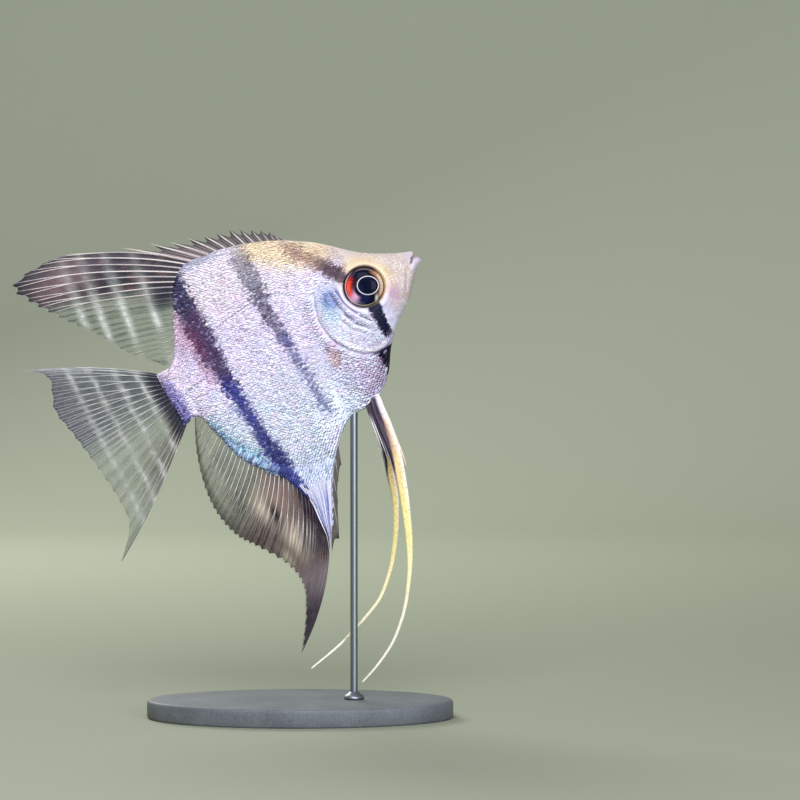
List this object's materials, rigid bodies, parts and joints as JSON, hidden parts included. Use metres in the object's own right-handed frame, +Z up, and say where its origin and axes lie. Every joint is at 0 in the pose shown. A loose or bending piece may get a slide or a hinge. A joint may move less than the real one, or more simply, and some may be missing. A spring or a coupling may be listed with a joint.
{
  "type": "freshwater angelfish model",
  "caption": "Life-size still model of a freshwater angelfish, nose up, with tall dorsal and anal fins and long trailing pelvic feelers, on a rod over an oval base.",
  "frame": {"origin": "centre of the oval base's underside, on the surface the stand rests on", "axes": "+X towards the snout's side, +Y towards the fish's left flank, +Z up; the fish is pitched 28.2 degrees nose up in the XZ plane"},
  "size_m": [0.0951, 0.038, 0.1053],
  "materials": {
    "skin": "cast resin painted as skin, lilac silver with dark bars, satin lacquer",
    "scales": "thin pearly scales painted as the skin, bright satin sheen",
    "fin_web": "thin smoky fin web, partly clear, with pale crossbands",
    "fin_ray": "fine pale fin rays, semi-gloss",
    "feeler": "yellow to cream pelvic feelers, satin",
    "mouth": "matt dusky lining of the mouth and gill slit",
    "eye": "painted iris with a red rear crescent and a black pupil, glossy",
    "cornea": "clear polished dome over the iris",
    "stand_base": "smooth matt slate-grey cast resin",
    "stand_rod": "brushed stainless steel"
  },
  "bodies": {
    "root": {"head": "skin", "lower_jaw": "skin", "gill_cover_left": "skin", "gill_cover_right": "skin", "trunk": "skin", "tail_stalk": "skin", "eye_left": "eye", "eye_right": "eye", "dorsal_fin": "fin_web", "anal_fin": "fin_web", "tail_fin": "fin_web", "pectoral_fin_left": "fin_web", "pectoral_fin_right": "fin_web", "pelvic_fin_left": "feeler", "pelvic_fin_right": "feeler", "stand_base": "stand_base", "stand_rod": "stand_rod", "stand_collar": "stand_rod"}
  },
  "joints": []
}
